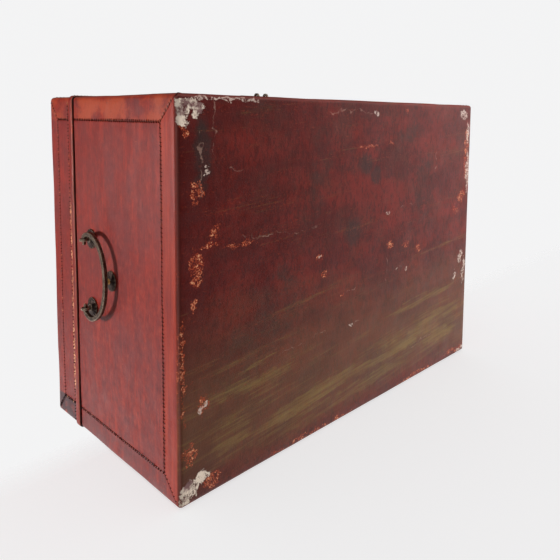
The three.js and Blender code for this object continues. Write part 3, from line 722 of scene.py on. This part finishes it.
def tube(first, rings, count):
    """Faces of a tube of so many rings of so many points, closed at both ends."""
    last = first + (rings - 1) * count
    faces = [face for here in range(first, last, count) for face in between(here, here + count, count)]
    return faces + [tuple(range(first + count - 1, first - 1, -1)), tuple(range(last, last + count))]


def hoop(rings, count):
    """Faces of so many rings of so many points, joined into one closed hoop."""
    starts = [i * count for i in range(rings)]
    return [face for here, there in zip(starts, starts[1:] + [0]) for face in between(here, there, count)]


def perimeter():
    """Points round the case, once, at the sharp corners' places."""
    xs, ys = stations(-HALF_L, HALF_L)[:-1], stations(-HALF_D, HALF_D)[:-1]
    walk = [(x, -HALF_D) for x in xs] + [(HALF_L, y) for y in ys]
    return walk + [(-x, HALF_D) for x in xs] + [(-HALF_L, -y) for y in ys]


def add_rim_band():
    """The sewn strip round the lid's lower edge, one rounded ring."""
    low, high, out = BAND_LOW, BAND_HIGH, BAND_PROUD
    section = [(-1.2, low + 0.4), (0.5, low + 0.2), (out - 0.15, low + 0.7), (out, low + 1.8),
               (out + 0.05, (low + high) / 2), (out, high - 1.9), (out - 0.25, high - 1.0),
               (out - 0.7, high - 0.3), (-1.2, high - 0.1)]
    points, seam = [], []
    walk = perimeter()
    for x, y in walk:
        place, normal = on_case(Vector((x, y, (low + high) / 2)))
        wander = noise.noise(place * 0.05) * 0.3
        for i, (proud, z) in enumerate(section):
            inside = 0 < i < len(section) - 1
            points.append(place + normal * (proud + wander * 0.6 * inside))
            points[-1].z = z + wander * inside
            seam.append(0.0 if 1 < i < len(section) - 2 else 0.8)
    held = {"seam": seam, "edge": [0.0] * len(points), "corner": [0.0] * len(points)}
    stand_in("lid_rim_band", points, hoop(len(walk), len(section)), "strip", held=held, smooth=60)


def tray_form(half_x, half_y, low, high, round_in):
    """Maps sharp tray points to a tray with filleted corners, its normal facing inwards."""
    def form(point):
        place, out = rounded(point, (-half_x, -half_y, low), (half_x, half_y, high), round_in)
        return place, -out
    return form


def add_linings():
    """Thin trays glued inside the body and the lid, with soft corners."""
    for node in ("body_lining", "lid_lining"):
        low, high = box(node)
        opens_up = node == "body_lining"
        half_x, half_y = high.x - WALL, high.y - WALL
        shut, mouth = (low.z + WALL, high.z) if opens_up else (high.z - WALL, low.z)
        xs, ys = stations(-half_x, half_x), stations(-half_y, half_y)
        zs = stations(shut, mouth) if opens_up else list(reversed(stations(mouth, shut)))
        grids = [[[Vector((x, y, shut)) for y in ys] for x in xs]]
        for side in (-1, 1):
            grids.append([[Vector((side * half_x, y, z)) for y in ys] for z in zs])
            grids.append([[Vector((x, side * half_y, z)) for x in xs] for z in zs])
        far = mouth + 100 if opens_up else mouth - 100
        form = tray_form(half_x, half_y, min(shut, far), max(shut, far), 4.0)

        def uneven(place, _normal):
            return max(-0.2, noise.noise(place * 0.03) * 0.5 + noise.noise(place * 0.11) * 0.15)

        skin(node, grids, form=form, shape=uneven, thick=0.9)


# ---- Stitches -----------------------------------------------------------------------------
PITCH = 3.1  # from one stitch to the next
THREAD = 0.27  # radius
SHORT = 4  # how far from a corner the seams stop
PROUD, SUNK = 0.34, 0.75  # how high a stitch rides, and how far its ends drop from there


def seam_runs():
    """Every sewn seam as (body, start, end, direction across it, height of its first side)."""
    runs = []

    def sew(body, start, end, across, height=0):
        runs.append((body, Vector(start), Vector(end), Vector(across), height))

    def sew_mitre(body, start, end, facing):
        mitre = (Vector(end) - Vector(start)).normalized()
        sew(body, start, end, mitre.cross(Vector(facing)))

    for level, tall, way, body in ((0.0, BORDER, 1, "case_body"), (TOP, LID_BORDER, -1, "lid")):
        seam = level + way * tall
        tip = level + way * SHORT * tall / BORDER
        free = LEATHER_TOP - 0.6 if body == "case_body" else LID_LOW + 0.6
        fold_x = HALF_L - BORDER
        for side in (-1, 1):
            end, face = side * HALF_L, side * HALF_D
            sew(body, (end, -FOLD_Y, seam), (end, FOLD_Y, seam), (0, 0, -way))
            sew(body, (-fold_x, face, seam), (fold_x, face, seam), (0, 0, -way))
            for flip in (-1, 1):
                x, y = flip * fold_x, flip * FOLD_Y
                sew(body, (end, y, seam), (end, y, free), (0, flip, 0))
                sew_mitre(body, (end, y, seam), (end, flip * (HALF_D - SHORT), tip), (1, 0, 0))
                sew_mitre(body, (x, face, seam), (flip * (HALF_L - SHORT), face, tip), (0, 1, 0))
    level = BAND_HIGH + SEAM / 2
    for side in (-1, 1):
        end, face = side * HALF_L, side * HALF_D
        x, y = HALF_L - SHORT, HALF_D - SHORT
        sew("lid", (end, -y, level), (end, y, level), (0, 0, 1), BAND_PROUD)
        sew("lid", (-x, face, level), (x, face, level), (0, 0, 1), BAND_PROUD)
    return runs


def stitch_points(at, along, across, lean, long, step):
    """The line of one whip stitch over a seam, its two ends sunk in the leather."""
    line = []
    for i in range(7):
        t = i / 3 - 1
        place, normal = on_case(at + across * (0.35 + t * long) + along * lean * t)
        height = PROUD - SUNK * abs(t) ** 3 + step * min(1, (1 - t) * 0.8)
        line.append((place + normal * height, normal))
    return line


def add_stitches():
    chance = random.Random(4)
    sides = 6
    threads = {"case_body": ([], [], []), "lid": ([], [], [])}
    for body, start, end, across, step in seam_runs():
        points, faces, wear = threads[body]
        along = (end - start).normalized()
        count = max(2, round((end - start).length / PITCH))
        for i in range(count):
            at = start.lerp(end, (i + 0.5 + chance.uniform(-0.15, 0.15)) / count)
            if clear_of_hardware(at) == 0:
                continue
            worn, long = chance.random(), chance.uniform(1.15, 1.6)
            line = stitch_points(at, along, across, chance.uniform(0.2, 0.6), long, step)
            base = len(points)
            for j, (centre, normal) in enumerate(line):
                ahead = line[min(j + 1, len(line) - 1)][0] - line[max(j - 1, 0)][0]
                side = ahead.cross(normal).normalized()
                up = side.cross(ahead).normalized()
                radius = THREAD * (0.6 if j in (0, len(line) - 1) else 1.0)
                for turn in turns(sides):
                    points.append(centre + (side * math.cos(turn) + up * math.sin(turn)) * radius)
                    points[-1].z = max(points[-1].z, 0.0)
                    wear.append(worn)
            faces += tube(base, len(line), sides)
    for (body, (points, faces, wear)), material in zip(threads.items(), (BODY_THREAD, LID_THREAD)):
        name = "body_stitches" if body == "case_body" else "lid_stitches"
        piece(name, points, faces, material, body, "side_leather", smooth=80, held={"wear": wear})


# ---- Turned and bent metalwork ------------------------------------------------------------
def lathe(profile, origin, axis, sides=32, ripple=None):
    """Points and faces of a turned piece: profile of (radius, height) from axis to axis."""
    axis = Vector(axis)
    across = axis.orthogonal().normalized()
    around = axis.cross(across)
    points, faces, rows = [], [], []
    for radius, height in profile:
        if radius == 0:
            rows.append([len(points)] * sides)
            points.append(Vector(origin) + axis * height)
            continue
        rows.append(list(range(len(points), len(points) + sides)))
        for turn in turns(sides):
            spread, lift = ripple(radius, turn) if ripple else (radius, 0.0)
            out = across * math.cos(turn) + around * math.sin(turn)
            points.append(Vector(origin) + axis * (height + lift) + out * spread)
    for row, after in zip(rows, rows[1:]):
        for k in range(sides):
            corners = [row[k], row[(k + 1) % sides], after[(k + 1) % sides], after[k]]
            faces.append(tuple(dict.fromkeys(corners)))
    return points, faces


def dome(radius, height, rings=6):
    """Profile of a low dome from its rim up to the axis."""
    quarter = [math.pi / 2 * i / rings for i in range(rings + 1)]
    return [(radius * math.cos(a), height * math.sin(a)) for a in quarter[:-1]] + [(0, height)]


PETALS = 14


def add_rosettes_and_studs():
    def fluted(radius, turn):
        share = max(0.0, radius / rim - 0.35) / 0.65
        wave = math.cos(PETALS * turn)
        return radius * (1 + 0.035 * wave * share), 0.16 * wave * share * (1 if radius < rim * 0.97 else 0)

    for side, way in ENDS:
        for which in ("front", "back", "stop"):
            node = f"{side}_{which}_rosette"
            low, high = box(node)
            middle, rim = (low + high) / 2, (high.y - low.y) / 2 - 0.3
            seat = min(abs(low.x), abs(high.x))
            thick = abs(high.x - low.x)
            profile = [(0, 0.05), (rim * 0.9, 0.0), (rim, 0.2), (rim, 0.55), (rim * 0.93, 0.85),
                       (rim * 0.84, 0.95), (rim * 0.72, 1.25), (rim * 0.58, 1.55), (rim * 0.46, 1.75),
                       (rim * 0.40, thick - 0.1), (rim * 0.30, thick), (0, thick)]
            origin = (way * seat, middle.y, middle.z)
            stand_in(node, *lathe(profile, origin, (way, 0, 0), 84, fluted), "fluted", smooth=50)
        node = f"{side}_stop_stud"
        low, high = box(node)
        middle, radius = (low + high) / 2, (high.y - low.y) / 2
        tip = max(abs(low.x), abs(high.x)) - HALF_L
        shank = min(abs(low.x), abs(high.x)) - HALF_L
        profile = [(0, shank), (1.0, shank), (1.0, 1.9), (radius, 2.0), (radius, 2.5)]
        profile += [(r, 2.5 + h) for r, h in dome(radius * 0.98, tip - 2.5)]
        origin = (way * HALF_L, middle.y, middle.z)
        stand_in(node, *lathe(profile, origin, (way, 0, 0), 28), "domed", smooth=50)


def add_nails():
    """Hammered round heads on the hinge and lock nails."""
    for node in [n for n in BODY_OF if "nail" in n]:
        low, high = box(node)
        middle, radius = (low + high) / 2, (high.x - low.x) / 2
        out = 1 if middle.y > 0 else -1
        seat = (high.y if out > 0 else -low.y) - 0.9
        depth = low.y if out > 0 else -high.y
        profile = [(0, depth), (0.65, depth + 1.5), (0.65, seat), (radius * 0.94, seat),
                   (radius, seat + 0.18)]
        profile += [(r, seat + 0.18 + h) for r, h in dome(radius * 0.97, 0.72, 4)]

        def beaten(r, turn, seed=middle.x + middle.z):
            dent = noise.noise(Vector((math.cos(turn) * 1.3, math.sin(turn) * 1.3, seed)))
            return r * (1 + 0.08 * dent), 0.08 * dent if r > 0.7 else 0.0

        stand_in(node, *lathe(profile, (middle.x, 0, middle.z), (0, out, 0), 20, beaten), "head", smooth=50)


def smooth_route(points, steps):
    """A Catmull-Rom curve through the points."""
    padded = [points[0] * 2 - points[1], *points, points[-1] * 2 - points[-2]]
    route = []
    for a, b, c, d in zip(padded, padded[1:], padded[2:], padded[3:]):
        for i in range(steps):
            t = i / steps
            route.append((b * 2 + (c - a) * t + (a * 2 - b * 5 + c * 4 - d) * t ** 2
                          + (b * 3 - a - c * 3 + d) * t ** 3) / 2)
    return route + [points[-1]]


def sweep(route, sizes, flat_normal, sides=24):
    """A bar along a route in a plane: sizes gives (half width in the plane, half depth)."""
    points = []
    for i, centre in enumerate(route):
        ahead = (route[min(i + 1, len(route) - 1)] - route[max(i - 1, 0)]).normalized()
        side = ahead.cross(flat_normal).normalized()
        wide, deep = sizes(i / (len(route) - 1))
        for turn in turns(sides):
            cos, sin = math.cos(turn), math.sin(turn)
            square = (abs(cos) ** 5 + abs(sin) ** 5) ** (-1 / 5)
            points.append(centre + (side * cos * wide + flat_normal * sin * deep) * square)
    return points, tube(0, len(route), sides)


def add_bails():
    """Each bail is a flattened bar, fuller at the grip, with thin ends through the posts' eyes."""
    for side, way in ENDS:
        pivot = joint_at(f"{side}_bail_swing")
        low, high = box(f"{side}_bail")
        rod = (high.x - low.x) / 2
        wide, grip = high.y - rod, low.z + rod - pivot.z
        span = box(f"{side}_back_post")[0].y + 1.5
        half = [(span - 4.2, 0.0), (span, 0.0), (span + 2.6, -0.3), (wide - 1, -4.4), (wide, -11),
                (wide - 2.6, -19), (wide * 0.72, -28), (wide * 0.38, -34)]
        route = half + [(0, grip)] + [(-y, z) for y, z in reversed(half)]
        line = smooth_route([Vector((pivot.x, y, pivot.z + z)) for y, z in route], 8)

        def sizes(t, rod=rod):
            from_end = min(t, 1 - t)
            grown = min(1.0, max(0.0, (from_end - 0.055) / 0.05))
            tip = 0.75 if from_end < 0.004 else 1.0
            return (1.35 + (rod * 1.06 - 1.35) * grown) * tip, (1.35 + (rod - 1.35) * grown) * tip

        stand_in(f"{side}_bail", *sweep(line, sizes, Vector((way, 0, 0))), "bar", smooth=50)


def add_posts():
    """Each post is a bar bent into an eye, with a collar where it goes into the rosette."""
    for side, way in ENDS:
        pivot = joint_at(f"{side}_bail_swing")
        for which in ("front", "back"):
            node = f"{side}_{which}_post"
            low, high = box(node)
            y = (low.y + high.y) / 2
            thick = (high.y - low.y) / 2
            ring = max(abs(low.x), abs(high.x)) - abs(pivot.x)
            bar = 0.85
            centre, radius = Vector((pivot.x, y, pivot.z)), ring - bar
            points = []
            steps, sides = 36, 12
            for turn in turns(steps):
                out = Vector((way * math.cos(turn), 0, math.sin(turn)))
                fuller = 1.0 + 0.25 * max(0.0, math.cos(turn)) ** 2
                for around in turns(sides):
                    depth = thick * math.sin(around) * (0.75 + 0.25 * fuller) / 1.25
                    points.append(centre + out * (radius + bar * math.cos(around)) + Vector((0, depth, 0)))
            inner = ring - 1.2
            start = abs(pivot.x) - inner - HALF_L
            depth = min(abs(low.x), abs(high.x)) - HALF_L
            profile = [(0, start), (1.3, start), (1.5, start - 0.6), (1.7, start - 1.0), (2.5, 2.9),
                       (2.9, 2.5), (2.9, 2.1), (1.4, 2.0), (1.4, depth), (0, depth)]
            stem, stem_faces = lathe(profile, (way * HALF_L, y, pivot.z), (way, 0, 0), 20)
            stem_faces = [tuple(len(points) + v for v in face) for face in stem_faces]
            stand_in(node, points + stem, hoop(steps, sides) + stem_faces, "eye", smooth=50)


def polish(node, bevel):
    """Keeps a CAD node and gives it broken edges and its finish."""
    shown = frame["nodes"][node]
    mesh = shown.data
    if "custom_normal" in mesh.attributes:
        mesh.attributes.remove(mesh.attributes["custom_normal"])
    mesh.polygons.foreach_set("use_smooth", [True] * len(mesh.polygons))
    mesh.materials.clear()
    mesh.materials.append(MATERIALS[SLOT_OF[node]])
    weld = shown.modifiers.new("weld", "WELD")
    weld.merge_threshold = 0.002 * MM
    flat = shown.modifiers.new("flat", "DECIMATE")
    flat.decimate_type = "DISSOLVE"
    flat.angle_limit = math.radians(1)
    broken = shown.modifiers.new("bevel", "BEVEL")
    broken.width = bevel * MM
    broken.segments = 2
    broken.limit_method = "ANGLE"
    broken.angle_limit = math.radians(35)
    shown.modifiers.new("shading", "WEIGHTED_NORMAL")


def add_kept_nodes():
    for node, shown in frame["nodes"].items():
        if not shown.hide_render:
            polish(node, 0.5 if SLOT_OF[node] == "wood" else 0.22)


# ---- Floor and light ----------------------------------------------------------------------
ROOM = (0.9, 0.9, 0.905, 1)
ROOM_LIGHT = 0.53  # how much of it lights the case
FLOOR_GAP = 1.3  # from the case's back to the floor that it lies on
FADES = (0.105, 0.145)  # heights in metres where that floor starts and ends its fading
GLOSS_BY_HEIGHT = (  # (z of a direction, how bright reflections see the room that way)
    (-1.0, 0.04), (-0.83, 0.04), (-0.6, 0.26), (-0.47, 1.2), (-0.3, 1.0), (0.0, 0.2), (0.4, 0.08),
    (0.62, 0.05), (0.92, 0.05), (1.0, 0.05),
)


def add_plane(name, centre, normal, size):
    mesh = bpy.data.meshes.new(name)
    half = size / 2
    corners = [(-half, -half, 0), (half, -half, 0), (half, half, 0), (-half, half, 0)]
    mesh.from_pydata(corners, [], [(0, 1, 2, 3)])
    plane = show(name, mesh)
    plane.rotation_mode = "QUATERNION"
    plane.rotation_quaternion = Vector((0, 0, 1)).rotation_difference(Vector(normal))
    plane.location = centre
    plane.visible_shadow = plane.visible_diffuse = plane.visible_glossy = False
    return plane


def pale_floor(name, fades=None):
    """A pale matt floor, clear from behind, so that no view looks at its back. It may fade out
    between two heights, so that it doesn't hide the open lid."""
    material = bpy.data.materials.new(name)
    nodes = Nodes(material)
    shader = nodes.tree.nodes["Principled BSDF"]
    nodes.feed(shader, {
        "Base Color": (0.5, 0.5, 0.5, 1),
        "Emission Color": ROOM,
        "Emission Strength": 0.72,
        "Roughness": 1.0,
        "Specular IOR Level": 0.0,
    })
    geometry = nodes.add("ShaderNodeNewGeometry").outputs
    hidden = geometry["Backfacing"]
    if fades:
        height = nodes.add("ShaderNodeSeparateXYZ", {0: geometry["Position"]}).outputs["Z"]
        inputs = {"Value": height, "From Min": fades[0], "From Max": fades[1]}
        hidden = nodes.most(hidden, nodes.add("ShaderNodeMapRange", inputs).outputs[0])
    clear = nodes.add("ShaderNodeBsdfTransparent").outputs[0]
    mix = nodes.add("ShaderNodeMixShader", {0: hidden, 1: shader.outputs[0], 2: clear})
    nodes.feed(nodes.tree.nodes["Material Output"], {"Surface": mix.outputs[0]})
    return material


def add_room():
    """An even pale room. It lights the case less than the camera sees it, and reflections see
    it darker below the case than beside it."""
    world = bpy.data.worlds.new("room")
    bpy.context.scene.world = world
    nodes = Nodes(world)
    direction = nodes.add("ShaderNodeTexCoord").outputs["Generated"]
    _, y, z = nodes.add("ShaderNodeSeparateXYZ", {0: direction}).outputs
    by_height = nodes.add("ShaderNodeFloatCurve", {"Value": z})
    points = by_height.mapping.curves[0].points
    points[0].location, points[1].location = GLOSS_BY_HEIGHT[0], GLOSS_BY_HEIGHT[-1]
    for place in GLOSS_BY_HEIGHT[1:-1]:
        points.new(*place)
    by_height.mapping.clip_min_x = -1.0
    by_height.mapping.update()
    near_floor = nodes.rise(y, 0.22, 0.5, 1.6)
    facing_up = nodes.maths("MULTIPLY", near_floor, z, use_clamp=True)
    gloss = nodes.most(by_height.outputs[0], facing_up)
    path = nodes.add("ShaderNodeLightPath").outputs
    unseen = nodes.add("ShaderNodeMix", {0: path["Is Glossy Ray"], 2: ROOM_LIGHT, 3: gloss}).outputs[0]
    strength = nodes.add("ShaderNodeMix", {0: path["Is Camera Ray"], 2: unseen, 3: 1.0}).outputs[0]
    nodes.feed(nodes.tree.nodes["Background"], {"Color": ROOM, "Strength": strength})


def add_light(name, direction, distance, size, watts, floors, diffuse=True, glossy=False):
    """A soft area light aimed at the case's middle that leaves the floors to the room's light."""
    data = bpy.data.lights.new(name, "AREA")
    data.shape = "DISK"
    data.size = size
    data.energy = watts
    light = show(name, data)
    towards = Vector(direction).normalized()
    light.location = Vector((0, 0, TOP / 2 * MM)) + towards * distance
    light.rotation_mode = "QUATERNION"
    light.rotation_quaternion = (-towards).to_track_quat("-Z", "Y")
    lit = bpy.data.collections.new(f"{name}_receivers")
    for floor in floors:
        lit.objects.link(floor)
    for linked in lit.collection_objects:
        linked.light_linking.link_state = "EXCLUDE"
    light.light_linking.receiver_collection = lit
    light.visible_diffuse, light.visible_glossy = diffuse, glossy


def add_stage():
    add_room()
    wall = add_plane("back_floor", (0, (HALF_D + FLOOR_GAP) * MM, 0.1), (0, -1, 0), 6)
    wall.data.materials.append(pale_floor("pale_wall", FADES))
    base = add_plane("base_floor", (0, 0, -0.5 * MM), (0, 0, 1), 6)
    base.data.materials.append(pale_floor("pale_base"))
    floors = (wall, base)
    from_window = (-0.77, 0.04, 0.64)
    add_light("key", from_window, 2.2, 0.22, 70, floors)
    add_light("sheen", from_window, 2.2, 0.25, 6.5, floors, diffuse=False, glossy=True)
    add_light("fill", (0.55, -0.65, 0.5), 2.4, 1.0, 14, floors)
    add_light("side", (0.82, -0.3, -0.46), 1.0, 0.5, 11, floors)


add_camera()
add_leathers()
add_rim_band()
add_linings()
add_stitches()
add_rosettes_and_studs()
add_nails()
add_bails()
add_posts()
add_kept_nodes()
add_stage()
bpy.context.scene.view_settings.view_transform = "Standard"
